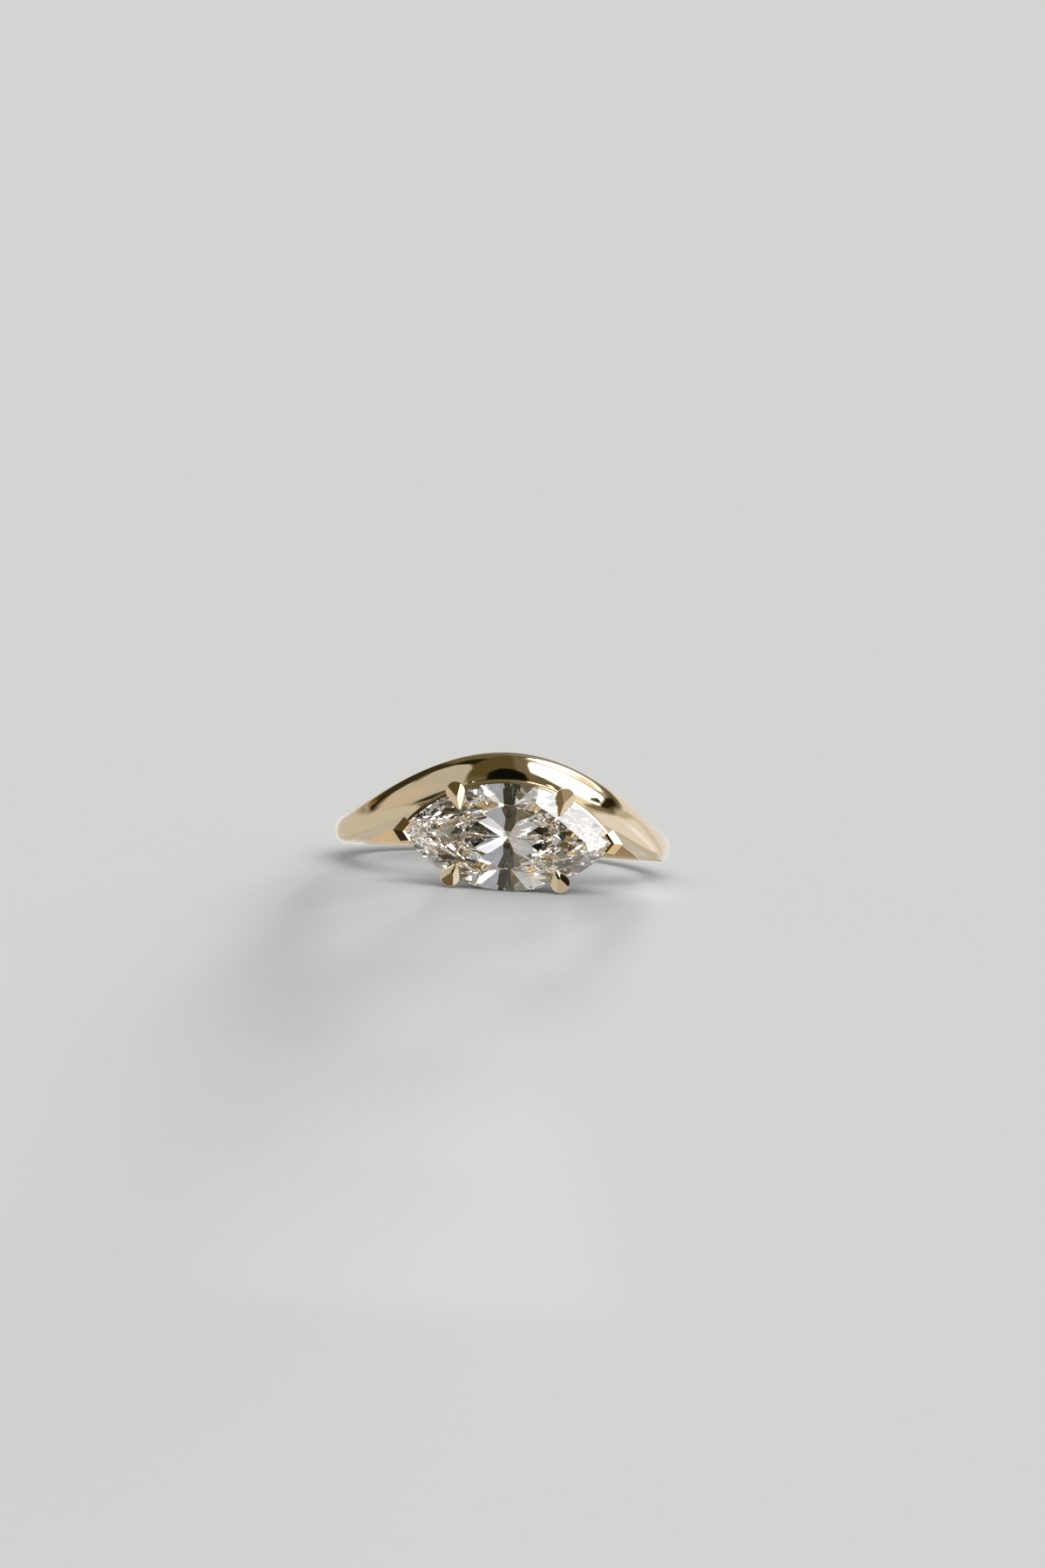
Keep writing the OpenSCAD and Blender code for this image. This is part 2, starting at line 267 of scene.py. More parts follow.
def section(phi):
    """Closed outline of the band as (radius, height) pairs at an angle round the finger."""
    s = swell(phi)
    high = SHANK_A + SHANK_W / 2 + EDGE_RISE * s
    low = SHANK_A - SHANK_W / 2 + (EDGE_RISE + SHANK_W - HEAD_W) * s
    mid, half = (high + low) / 2, (high - low) / 2
    dome = SHANK_T + (HEAD_T - SHANK_T) * s - SIDE_H
    side = BORE_R + SIDE_H
    inner = BORE_R + EDGE_ROUND
    points = []
    for k in range(DOME_STEPS + 1):
        a = math.pi * k / DOME_STEPS
        out = dome * signed_pow(math.sin(a), 2 / DOME_N)
        points.append((side + out, mid + half * signed_pow(math.cos(a), 2 / DOME_N)))
    points.append((side - HOLD, low))
    points.append((inner + HOLD, low))
    points += corner(inner, low + EDGE_ROUND, -math.pi / 2, -math.pi / 2)
    points.append((BORE_R, low + EDGE_ROUND + HOLD))
    points.append((BORE_R, mid))
    points.append((BORE_R, high - EDGE_ROUND - HOLD))
    points += corner(inner, high - EDGE_ROUND, math.pi, -math.pi / 2)
    points.append((inner + HOLD, high))
    points.append((side - HOLD, high))
    return points


def band():
    """The band, satin inside as wear leaves it, and darker and greyer in colour there."""
    rings = []
    for i in range(STATIONS):
        phi = -math.pi + 2 * math.pi * i / STATIONS
        rings.append([Vector((r * math.sin(phi), -r * math.cos(phi), a)) for r, a in section(phi)])
    obj = loft("band", rings, loop=True)
    radii = [math.hypot(v.co.x, v.co.y) for v in obj.data.vertices]
    # Marks the inside of the band, which is made rougher and also darker and greyer in colour
    inside_of_band = obj.data.attributes.new("inside_of_band", "FLOAT", "POINT")
    inside_of_band.data.foreach_set("value", [1.0 if r < BORE_R + EDGE_ROUND / 2 else 0.0 for r in radii])
    gold_piece(obj, RING)


# Stone

STONE_SIDE_STEPS = 40
STONE_SPARE = 1  # height of the block above and below the stone, which the facets cut off


def arc_radius(hl, hw):
    """Radius of the two arcs of a marquise outline with this half length and half width."""
    return (hl**2 + hw**2) / (2 * hw)


# Its outline and levels: the centres of its arcs are arc_c past its middle
half_l = STONE_L / 2
half_w = STONE_W / 2
arc_r = arc_radius(half_l, half_w)
arc_c = arc_r - half_w
z_top = GIRDLE_H / 2
z_bot = -GIRDLE_H / 2
z_table = z_top + CROWN_H


def outline_point(u):
    """Point of the outline at this distance along the length."""
    return Vector((u, math.sqrt(arc_r**2 - u**2) - arc_c, 0))


def plane3(a, b, c):
    """Plane through three points as (unit normal away from the stone's middle, distance)."""
    n = (b - a).cross(c - a).normalized()
    d = n.dot(a)
    return (-n, -d) if d < 0 else (n, d)


def slope(x, y, z, d):
    """Plane as (unit normal, distance), from a normal of any length."""
    n = Vector((x, y, z))
    return n / n.length, d / n.length


def girdle_points(z):
    """Points of a quarter of the girdle where facets meet, from the middle of the side to the tip."""
    between = [outline_point(STONE_L * share) for share in GIRDLE_AT]
    return [p + Vector((0, 0, z)) for p in (Vector((0, half_w, 0)), *between, Vector((half_l, 0, 0)))]


def aslant_main():
    """Direction in which the mains between side and tip face, and their distance at the girdle."""
    g1 = outline_point(STONE_L * GIRDLE_AT[1])
    n1 = Vector((g1.x, g1.y + arc_c)) / arc_r
    return n1, n1.x * g1.x + n1.y * g1.y


def crown_planes():
    """Mains, stars and upper girdle facets of a quarter of the crown."""
    g0, m1, g1, m2, g2 = girdle_points(z_top)
    n1, h1 = aslant_main()
    run_side = half_w - TABLE_W / 2
    run_tip = half_l - TABLE_L / 2
    star = 1 - STAR_DROP
    t0 = Vector((0, TABLE_W / 2, z_table))
    t1 = Vector((g1.x - run_side * n1.x, g1.y - run_side * n1.y, z_table))
    t2 = Vector((TABLE_L / 2, 0, z_table))
    s1_v = half_w - run_side * star
    s1 = Vector(((h1 - run_side * star - n1.y * s1_v) / n1.x, s1_v, z_top + CROWN_H * star))
    s2_u = half_l - run_tip * star
    s2 = Vector((s2_u, (h1 - run_side * star - n1.x * s2_u) / n1.y, z_top + CROWN_H * star))
    return [
        # Mains at the side, at the tip and aslant
        slope(0, 1, run_side / CROWN_H, half_w + z_top * run_side / CROWN_H),
        slope(1, 0, run_tip / CROWN_H, half_l + z_top * run_tip / CROWN_H),
        slope(n1.x, n1.y, run_side / CROWN_H, h1 + z_top * run_side / CROWN_H),
        # Stars
        plane3(t0, t1, s1),
        plane3(t1, t2, s2),
        # Upper girdle facets
        plane3(s1, g0, m1),
        plane3(s1, m1, g1),
        plane3(s2, g1, m2),
        plane3(s2, m2, g2),
    ]


def pavilion_planes():
    """Mains and lower girdle facets of a quarter of the pavilion."""
    g0, m1, g1, m2, g2 = girdle_points(z_bot)
    n1, h1 = aslant_main()
    q1 = Vector(((h1 - n1.y * half_w) / n1.x, half_w))
    l1 = Vector((*(q1 * (1 - LOWER_LEN)), z_bot - LOWER_LEN * PAVILION_H))
    l2 = Vector((KEEL_AT, 0, z_bot - PAVILION_H * (1 - KEEL_AT * n1.x / h1)))
    return [
        # Mains at the side and aslant
        slope(0, 1 / half_w, -1 / PAVILION_H, 1 - z_bot / PAVILION_H),
        slope(n1.x / h1, n1.y / h1, -1 / PAVILION_H, 1 - z_bot / PAVILION_H),
        # Lower girdle facets
        plane3(l1, g0, m1),
        plane3(l1, m1, g1),
        plane3(l2, g1, m2),
        plane3(l2, m2, g2),
    ]


def facet_planes():
    """Planes of the facets, as in the CAD source: the table, then one quarter's, turned to all four."""
    planes = [(Vector((0, 0, 1)), z_table)]
    for n, d in crown_planes() + pavilion_planes():
        for sx in (-1, 1) if abs(n.x) > NEARLY_ZERO else (1,):
            for sy in (-1, 1) if abs(n.y) > NEARLY_ZERO else (1,):
                planes.append((Vector((n.x * sx, n.y * sy, n.z)), d))
    return planes


def cut_stone(name, grow=0.0):
    """The stone, grown on every side: an upright block of its outline, cut by each facet's plane."""
    ang = math.asin(half_l / arc_r)
    r = arc_r + grow
    outline = []
    for sign in (1, -1):
        for k in range(STONE_SIDE_STEPS):
            a = ang * (1 - 2 * k / STONE_SIDE_STEPS) * sign
            outline.append((r * math.sin(a), sign * (r * math.cos(a) - arc_c)))
    bottom = z_bot - PAVILION_H - STONE_SPARE
    bm = block([(x, y, bottom) for x, y in outline], [(x, y, z_table + STONE_SPARE) for x, y in outline])
    for n, d in facet_planes():
        cut_away(bm, n * (d + grow), n)
    bmesh.ops.remove_doubles(bm, verts=bm.verts, dist=MERGE)
    return new_object(name, bm)


def diamond():
    """The stone in its place."""
    obj = cut_stone("diamond")
    place(obj, HEAD @ Matrix.Translation((0, 0, GIRDLE_R)))
    obj.data.materials.append(diamond_material())
    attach(obj, "root")
    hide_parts("marquise_diamond")


# Setting

BALL_STEPS = 14
BAR_STEPS = 10
CLAW_AROUND = 96
POST_AROUND = 64


def bar_outline(length, ra, rb):
    """Half outline (distance along, radius) of two balls joined by a cone that touches both."""
    lean = math.asin((ra - rb) / length)
    outline = []
    for k in range(1, BALL_STEPS + 1):
        a = -math.pi / 2 + (math.pi / 2 + lean) * k / BALL_STEPS
        outline.append((ra * math.sin(a), ra * math.cos(a)))
    s0, r0 = outline[-1]
    s1, r1 = length + rb * math.sin(lean), rb * math.cos(lean)
    for k in range(1, BAR_STEPS):
        outline.append((s0 + (s1 - s0) * k / BAR_STEPS, r0 + (r1 - r0) * k / BAR_STEPS))
    for k in range(BALL_STEPS // 2):
        a = lean + (math.pi / 2 - lean) * k / (BALL_STEPS // 2)
        outline.append((length + rb * math.sin(a), rb * math.cos(a)))
    return outline


def upward(w):
    """Unit vector at a right angle to a direction, as near straight up as it gets."""
    return (Vector((0, 0, 1)) - w * w.z).normalized()


def bar(name, a, b, ra, rb, around=POST_AROUND):
    """Round bar between two points, with a ball's end of its own radius at each."""
    w = (b - a).normalized()
    n = upward(w)
    side = w.cross(n)
    rings = []
    for s, r in bar_outline((b - a).length, ra, rb):
        rings.append([
            a + w * s + (side * math.cos(t) + n * math.sin(t)) * r
            for t in (2 * math.pi * k / around for k in range(around))
        ])
    return loft(name, rings)


def seat():
    """The stone, larger by the gap, to be cut out of what holds it."""
    obj = cut_stone("seat", grow=SEAT_GAP)
    obj.data.transform(Matrix.Translation((0, 0, GIRDLE_R)))
    return obj


# Filed facets of a claw: distance from its axis at the round end, turn round the axis, and lean
# toward the point
CLAW_FACETS = [
    (0.36, 0, math.radians(2)),
    (0.46, math.radians(-44), math.radians(18.5)),
    (0.46, math.radians(44), math.radians(18.5)),
]
CLAW_BEVEL = 0.012
CLAW_BEVEL_ANGLE = 25
CLAW_CRISP_ANGLE = 12


def filed(obj, bend, point):
    """Files a flat front that narrows to the point, and a flat on each side of it."""
    w = (point - bend).normalized()
    n = upward(w)
    bm = bmesh.new()
    bm.from_mesh(obj.data)
    for distance, turn, lean in CLAW_FACETS:
        out = Matrix.Rotation(turn, 3, w) @ n
        cut_away(bm, bend + out * distance, out * math.cos(lean) + w * math.sin(lean))
    bm.to_mesh(obj.data)
    bm.free()
    chamfer(obj, CLAW_BEVEL, CLAW_BEVEL_ANGLE)


def claw(name, side, across, tip):
    """Claw: a post from the base rail and a teardrop point over the crown, seated round the stone."""
    foot = Vector((side * CLAW_FOOT[0], across * CLAW_FOOT[1], BASE["z"]))
    bend = Vector((side * CLAW_U, across * CLAW_V, GIRDLE_R + CLAW_BEND))
    point = Vector((side * tip[0], across * tip[1], GIRDLE_R + tip[2]))
    obj = bar(name, bend, point, CLAW_R, POINT_R, CLAW_AROUND)
    post = bar("post", foot, bend, BASE["r"], CLAW_R * POST_SHARE)
    combine(obj, post, "UNION")
    filed(obj, bend, point)
    combine(obj, seat(), "DIFFERENCE")
    gold_piece(obj, HEAD, CLAW_CRISP_ANGLE)


TIP_CRISP_ANGLE = 8


def arm(lengths, across):
    """Mesh of one arm of a V-prong, open at the mitre, its lengths given outside and inside."""
    along = Vector((-math.cos(TIP_HALF), math.sin(TIP_HALF), 0))
    inner, outer = Vector((TIP_IN, 0, 0)), Vector((TIP_IN + TIP_T, 0, 0))
    corners = [inner, outer, outer + along * lengths[0], inner + along * lengths[1]]
    low = GIRDLE_R - TIP_LOW
    high = GIRDLE_R + TIP_OVER + TIP_SPARE
    bm = block([(p.x, p.y, low) for p in corners], [(p.x, p.y, high) for p in corners])
    bmesh.ops.recalc_face_normals(bm, faces=bm.faces)
    face_edge = Vector((TIP_IN + TIP_LIP, 0, GIRDLE_R + TIP_OVER))
    turn = Matrix.Rotation(math.pi / 2 - TIP_HALF, 3, "Z")
    for lean in (TIP_SLOPE, -TIP_LIP_SLOPE):
        cut_away(bm, face_edge, turn @ Vector((math.sin(lean), 0, math.cos(lean))))
    mitre = [f for f in bm.faces if all(abs(v.co.y) < ON_PLANE for v in f.verts)]
    bmesh.ops.delete(bm, geom=mitre, context="FACES_ONLY")
    for v in bm.verts:
        v.co.y *= across
    mesh = bpy.data.meshes.new("arm")
    bm.to_mesh(mesh)
    bm.free()
    return mesh


def v_prong(name, side):
    """V-prong over one end of the stone, on its post."""
    bm = bmesh.new()
    for mesh in (arm(UPPER_ARM, 1), arm(LOWER_ARM, -1)):
        bm.from_mesh(mesh)
        bpy.data.meshes.remove(mesh)
    bmesh.ops.remove_doubles(bm, verts=bm.verts, dist=MERGE)
    obj = new_object(name, bm)
    chamfer(obj, TIP_BEVEL, TIP_BEVEL_ANGLE)
    foot = Vector((TIP_FOOT, 0, BASE["z"]))
    post_in = TIP_POST_R * TIP_POST_IN / math.sin(TIP_HALF)
    post_top = Vector((TIP_IN + TIP_T - post_in, 0, GIRDLE_R - TIP_POST_R))
    post = bar("post", foot, post_top, BASE["r"], TIP_POST_R)
    combine(obj, post, "UNION")
    combine(obj, seat(), "DIFFERENCE")
    if side < 0:
        obj.data.transform(Matrix.Diagonal((-1, 1, 1, 1)))
        obj.data.flip_normals()
    gold_piece(obj, HEAD, TIP_CRISP_ANGLE)


WIRE_AROUND = 28
WIRE_ALONG = 72


def marquise_wire(name, sizes):
    """Wire bent to the stone's outline, its two arcs mitred where they meet."""
    hl, hw, r = sizes["half_l"], sizes["half_w"], sizes["r"]
    ra = arc_radius(hl, hw)
    ang = math.asin(hl / ra)
    rings = []
    for sign in (1, -1):
        for k in range(WIRE_ALONG):
            a = ang * (1 - 2 * k / WIRE_ALONG) * sign
            centre = Vector((ra * math.sin(a), sign * (ra * math.cos(a) - (ra - hw)), 0))
            out = Vector((math.sin(a), sign * math.cos(a), 0))
            if k == 0:
                out = Vector((math.copysign(1 / math.sin(ang), a), 0, 0))
            rings.append([
                centre + (out * math.cos(t) + Vector((0, 0, math.sin(t)))) * r
                for t in (2 * math.pi * j / WIRE_AROUND for j in range(WIRE_AROUND))
            ])
    obj = loft(name, rings, loop=True)
    obj.data.transform(Matrix.Translation((0, sizes["off"], sizes["z"])))
    gold_piece(obj, HEAD)


# Materials

GOLD_PALE = (0.93, 0.775, 0.545, 1)
GOLD_DEEP = (0.90, 0.74, 0.505, 1)
GOLD_CLOUDS = (260, 4)  # scale and detail of the noise between the two
# Multiplied into the colour inside the band, where it makes the gold darker and greyer
INSIDE_DARKENING_TINT = (0.84, 0.81, 0.75, 1)
SATIN_ROUGHNESS = 0.3
POLISH = (0.03, 0.07)  # least and most roughness
POLISH_GRAIN = (9000, 3)
POLISH_BAND = (0.3, 0.7)  # values of the grain's noise between which the roughness changes
HAIRLINE_TURN = (0.3, 0.2, 0.7)
HAIRLINE_SCALE = (1500, 9000, 9000)  # stretched along the first axis
HAIRLINE_GRAIN = (1, 2)
HAIRLINE_STRENGTH = 0.05
HAIRLINE_DEPTH = 0.004 * MM
DIAMOND_TINT = (0.995, 0.985, 0.96, 1)
DIAMOND_IOR = 2.417
PAPER_DARK = (0.795, 0.795, 0.783, 1)
PAPER_PALE = (0.805, 0.805, 0.793, 1)
PAPER_GRAIN = (900, 2)


def nodes_of(material):
    """Node tree of a new material, and its shader."""
    material.use_nodes = True
    tree = material.node_tree
    return tree, tree.nodes["Principled BSDF"]


def noise(tree, points, grain):
    """Noise over the points, its grain given as (scale, detail)."""
    texture = tree.nodes.new("ShaderNodeTexNoise")
    texture.inputs["Scale"].default_value = grain[0]
    texture.inputs["Detail"].default_value = grain[1]
    tree.links.new(points, texture.inputs["Vector"])
    return texture.outputs["Fac"]


def mix(tree, factor, colour, blend="MIX"):
    """Mixes a colour into another one, which is still to be set or linked as A."""
    node = tree.nodes.new("ShaderNodeMix")
    node.data_type = "RGBA"
    node.blend_type = blend
    node.inputs["B"].default_value = colour
    tree.links.new(factor, node.inputs["Factor"])
    return node


def gold_colour(tree, coords, inside_of_band):
    """Pale yellow with a faint unevenness, darker and greyer inside the band."""
    colour = mix(tree, noise(tree, coords, GOLD_CLOUDS), GOLD_DEEP)
    colour.inputs["A"].default_value = GOLD_PALE
    # The inside of the band made darker and greyer in colour
    darkened_inside = mix(tree, inside_of_band, INSIDE_DARKENING_TINT, "MULTIPLY")
    tree.links.new(colour.outputs["Result"], darkened_inside.inputs["A"])
    return darkened_inside.outputs["Result"]


def gold_roughness(tree, coords, inside_of_band):
    """A faint unevenness of the polish, and much more where it is satin."""
    rough = tree.nodes.new("ShaderNodeMapRange")
    rough.inputs["From Min"].default_value = POLISH_BAND[0]
    rough.inputs["From Max"].default_value = POLISH_BAND[1]
    rough.inputs["To Min"].default_value = POLISH[0]
    rough.inputs["To Max"].default_value = POLISH[1]
    tree.links.new(noise(tree, coords, POLISH_GRAIN), rough.inputs["Value"])
    worn = tree.nodes.new("ShaderNodeMath")
    worn.operation = "MULTIPLY_ADD"
    worn.inputs[1].default_value = SATIN_ROUGHNESS
    tree.links.new(inside_of_band, worn.inputs[0])
    tree.links.new(rough.outputs["Result"], worn.inputs[2])
    return worn.outputs["Value"]


def hairlines(tree, coords):
    """Hairline scratches, all one way."""
    stretch = tree.nodes.new("ShaderNodeMapping")
    stretch.inputs["Rotation"].default_value = HAIRLINE_TURN
    stretch.inputs["Scale"].default_value = HAIRLINE_SCALE
    tree.links.new(coords, stretch.inputs["Vector"])
    bump = tree.nodes.new("ShaderNodeBump")
    bump.inputs["Strength"].default_value = HAIRLINE_STRENGTH
    bump.inputs["Distance"].default_value = HAIRLINE_DEPTH
    tree.links.new(noise(tree, stretch.outputs["Vector"], HAIRLINE_GRAIN), bump.inputs["Height"])
    return bump.outputs["Normal"]


def gold_material():
    """Polished pale yellow gold; satin, and darker and greyer in colour, where the mesh marks the inside
    of the band.
    """
    found = bpy.data.materials.get("polished_gold")
    if found:
        return found
    material = bpy.data.materials.new("polished_gold")
    tree, shader = nodes_of(material)
    shader.inputs["Metallic"].default_value = 1.0
    coords = tree.nodes.new("ShaderNodeTexCoord").outputs["Object"]
    attribute = tree.nodes.new("ShaderNodeAttribute")
    attribute.attribute_name = "inside_of_band"
    inside_of_band = attribute.outputs["Fac"]
    tree.links.new(gold_colour(tree, coords, inside_of_band), shader.inputs["Base Color"])
    tree.links.new(gold_roughness(tree, coords, inside_of_band), shader.inputs["Roughness"])
    tree.links.new(hairlines(tree, coords), shader.inputs["Normal"])
    return material


def diamond_material():
    """Near-colourless diamond with a faint champagne tint."""
    material = bpy.data.materials.new("cut_diamond")
    tree, shader = nodes_of(material)
    shader.inputs["Base Color"].default_value = DIAMOND_TINT
    shader.inputs["Roughness"].default_value = 0.0
    shader.inputs["IOR"].default_value = DIAMOND_IOR
    shader.inputs["Transmission Weight"].default_value = 1.0
    return material


def paper_material():
    """Matt pale paper with a barely visible grain."""
    material = bpy.data.materials.new("matt_paper")
    tree, shader = nodes_of(material)
    shader.inputs["Roughness"].default_value = 1.0
    shader.inputs["Specular IOR Level"].default_value = 0.0
    coords = tree.nodes.new("ShaderNodeTexCoord").outputs["Object"]
    colour = mix(tree, noise(tree, coords, PAPER_GRAIN), PAPER_PALE)
    colour.inputs["A"].default_value = PAPER_DARK
    tree.links.new(colour.outputs["Result"], shader.inputs["Base Color"])
    return material


# Floor, in metres

FLOOR_R = 0.45
FLOOR_AROUND = 96


def floor():
    """Pale floor, which the ring doesn't reflect: the painted room stands for it there."""
    bm = bmesh.new()
    rim = [
        bm.verts.new((FLOOR_R * math.cos(t), FLOOR_R * math.sin(t), 0))
        for t in (2 * math.pi * k / FLOOR_AROUND for k in range(FLOOR_AROUND))
    ]
    bm.faces.new(rim)
    obj = new_object("floor", bm)
    obj.data.materials.append(paper_material())
    obj.visible_glossy = False
    obj.visible_transmission = False


# Painted room

# What the ring reflects, painted in this order: name, blur of the edge, light, and the corners as
# (azimuth, height) in degrees. Azimuth 0 is the viewer's side and 90 the right. A panel covers what lies
# on the inner side of all its edges, so a corner that turns inward makes it a little smaller.
PANELS = [
    ("ground", 6, (0.50, 0.48, 0.43),
     [(-200, -90), (-200, -12), (200, -12), (200, -90)]),
    ("back_right", 8, (0.30, 0.31, 0.30),
     [(108, -6), (108, 95), (200, 95), (200, -6)]),
    ("back_left", 8, (0.20, 0.19, 0.15),
     [(-152, -6), (-152, 95), (-200, 95), (-200, -6)]),
    ("ceiling_left", 5, (0.02, 0.016, 0.004),
     [(-80, 42), (-28, 34), (-26, 62), (-72, 60)]),
    ("column", 3, (0.10, 0.08, 0.034),
     [(-33, 6), (-34, 95), (6, 95), (6, 6)]),
    ("column_edge", 3, (0.18, 0.15, 0.11),
     [(5, 6), (5, 64), (34, 74), (40, 60), (19, 6)]),
    ("front", 5, (0.03, 0.026, 0.016),
     [(-52, -17), (-15, 2), (7, 2), (9, -12), (4, -32), (-56, -32), (-60, -24)]),
    ("front_low", 5, (0.15, 0.12, 0.07),
     [(-56, -36), (4, -36), (4, -80), (-48, -80)]),
    ("viewer", 1.5, (0.004, 0.006, 0.004),
     [(-15, -10), (-15, 11), (-7, 21), (3, 20), (12, 12), (17, -10)]),
    ("dark_left", 3, (0.038, 0.034, 0.015),
     [(-98, -2), (-66, 30), (-70, 48), (-105, 52), (-152, 38), (-152, 22), (-122, 12)]),
    ("card_left", 1.5, (0.52, 0.52, 0.51),
     [(-29, -5), (-31, 25), (-40, 38), (-62, 43), (-78, 37), (-97, 14), (-100, -8), (-60, -20)]),
    ("low_left", 2, (0.60, 0.585, 0.56),
     [(-200, -90), (-200, 22), (-152, 18), (-125, 11), (-100, -3), (-72, -18), (-54, -40), (-54, -90)]),
    ("shade_left", 4, (0.30, 0.27, 0.19),
     [(-101, -5), (-125, 10), (-152, 17), (-152, 9), (-125, 1), (-102, -11)]),
    ("dark_end", 2.5, (0.012, 0.012, 0.004),
     [(-95, -5), (-95, 8), (-108, 15), (-114, 11), (-114, 4), (-105, -4)]),
    ("copper", 1.5, (0.34, 0.15, 0.04),
     [(-112, 5), (-112, 11), (-120, 13), (-121, 6)]),
    ("card_glow", 8, (0.60, 0.55, 0.50),
     [(-99, -10), (-99, 10), (-76, 12), (-50, 0), (-66, -16)]),
    ("low_right", 4, (0.80, 0.81, 0.87),
     [(200, -90), (200, 25), (152, 30), (112, 26), (92, 8), (74, -8), (60, -22), (50, -40), (50, -90)]),
    ("dip_right", 3, (0.68, 0.66, 0.66),
     [(98, 6), (107, 9), (135, -7), (150, -24), (140, -24)]),
    ("glow_right", 5, (0.98, 0.99, 1.2),
     [(84, -14), (96, -9), (134, -30), (134, -40), (88, -22)]),
    ("shade_right", 3, (0.54, 0.50, 0.42),
     [(80, -8), (80, 0), (100, 8), (104, 3), (88, -5)]),
    ("under_left", 2, (0.48, 0.43, 0.34),
     [(166, -42), (166, -18), (179, -18), (179, -42)]),
    ("under", 8, (0.54, 0.53, 0.50),
     [(132, -90), (132, -30), (228, -30), (228, -90)]),
    ("frame", 2, (0.42, 0.40, 0.37),
     [(20, 48), (32, 60), (84, 24), (86, 14), (74, 8)]),
    ("pane_high", 2, (4.0, 3.9, 3.95),
     [(30, 55), (40, 70), (62, 74), (92, 70), (109, 57), (111, 46), (104, 34), (84, 21), (74, 23),
      (60, 36)]),
    ("pane_warm", 7, (0.95, 0.92, 0.88),
     [(64, 30), (74, 44), (100, 44), (102, 34), (86, 20), (77, 19)]),
    ("pane", 1.5, (3.9, 3.85, 3.95),
     [(17, 14), (18, 35), (22, 45), (28, 51), (56, 33), (66, 23), (74, 16), (76, 10), (64, -5),
      (48, -6), (30, 7)]),
    ("warm_low", 3, (0.74, 0.62, 0.44),
     [(13, -20), (13, -2), (30, -2), (36, -20)]),
    ("pane_low", 4, (0.9, 0.88, 0.82),
     [(34, -28), (38, 0), (60, -4), (54, -16), (42, -30)]),
    ("streak_low", 3, (0.2, 0.17, 0.12),
     [(48, -20), (50, -14), (70, 1), (74, -4), (58, -20)]),
    ("streak", 2, (0.02, 0.013, 0.005),
     [(66, -6), (66, 0), (80, 13), (97, 20), (100, 15), (86, 6), (76, -6)]),
    ("streak_far", 3, (0.14, 0.11, 0.07),
     [(94, 14), (96, 21), (118, 36), (126, 31)]),
    ("claw_card", 2, (0.36, 0.32, 0.26),
     [(27, 54), (27, 69), (42, 70), (42, 55)]),
    ("claw_shade", 2, (0.19, 0.155, 0.09),
     [(-80, 21), (-79, 31), (-87, 32), (-88, 22)]),
    ("mark", 0.8, (0.04, 0.05, 0.035),
     [(57, -2), (59, 2), (67, 6), (69, 3), (66, -1)]),
]
# Seen through the stone alone: the window's near edge, which would burn out its largest facets
STONE_PANELS = [
    ("pane_soft", 2.5, (0.42, 0.45, 0.50),
     [(14, -8), (14, 17), (30, 20), (46, 16), (51, 7), (49, -8)]),
]
# Where nothing is painted
CEILING = (0.14, 0.13, 0.08)
# Radius of the room in metres, and the directions of its points in degrees
ROOM_R = 2.0
ROOM_STEP = 0.75
AZIMUTHS = np.arange(-180, 180, ROOM_STEP)
HEIGHTS = np.arange(-90 + ROOM_STEP, 90, ROOM_STEP)


def direction(azimuth, height):
    """Unit vector toward an azimuth and a height, in degrees."""
    a, e = math.radians(azimuth), math.radians(height)
    return Vector((math.sin(a) * math.cos(e), -math.cos(a) * math.cos(e), math.sin(e)))


def sphere(name):
    """Round room with a point in each direction and one at each end."""
    bm = bmesh.new()
    rows = [[bm.verts.new(direction(a, h) * ROOM_R) for a in AZIMUTHS] for h in HEIGHTS]
    ends = [bm.verts.new((0, 0, h)) for h in (-ROOM_R, ROOM_R)]
    for k in range(len(AZIMUTHS)):
        j = (k + 1) % len(AZIMUTHS)
        for low, high in zip(rows, rows[1:]):
            bm.faces.new((low[k], low[j], high[j], high[k]))
        for row, end in zip((rows[0], rows[-1]), ends):
            bm.faces.new((row[k], row[j], end))
    return new_object(name, bm)


def inside(points, corners, blur):
    """1 for the points on the inner side of all edges of an outline and 0 for the rest, softly."""
    middle = np.mean(corners, axis=0)
    mask = np.ones(len(points))
    for a, b in zip(corners, corners[1:] + corners[:1]):
        side = np.subtract(b, a)
        n = np.array((-side[1], side[0])) / np.hypot(*side)
        if n @ (middle - a) < 0:
            n = -n
        t = np.clip(((points - a) @ n + blur) / (2 * blur), 0, 1)
        mask *= t * t * (3 - 2 * t)
    return mask


def painted(panels):
    """Light at each point of the room, its panels painted one over the other."""
    grid = np.array([(a, h) for h in HEIGHTS for a in AZIMUTHS] + [(0, -90), (0, 90)], float)
    light = np.tile(CEILING, (len(grid), 1))
    for name, blur, colour, corners in panels:
        share = np.zeros(len(grid))
        for wrap in (-360, 0, 360):
            share = np.maximum(share, inside(grid + (wrap, 0), corners, blur))
        light += share[:, None] * (np.array(colour) - light)
    return np.c_[light, np.ones(len(grid))]


def glow_material(name):
    """Gives off the light that is painted on the mesh."""
    material = bpy.data.materials.new(name)
    material.use_nodes = True
    material.cycles.emission_sampling = "NONE"
    tree = material.node_tree
    tree.nodes.clear()
    colour = tree.nodes.new("ShaderNodeAttribute")
    colour.attribute_name = "light"
    glow = tree.nodes.new("ShaderNodeEmission")
    result = tree.nodes.new("ShaderNodeOutputMaterial")
    tree.links.new(colour.outputs["Color"], glow.inputs["Color"])
    tree.links.new(glow.outputs["Emission"], result.inputs["Surface"])
    return material


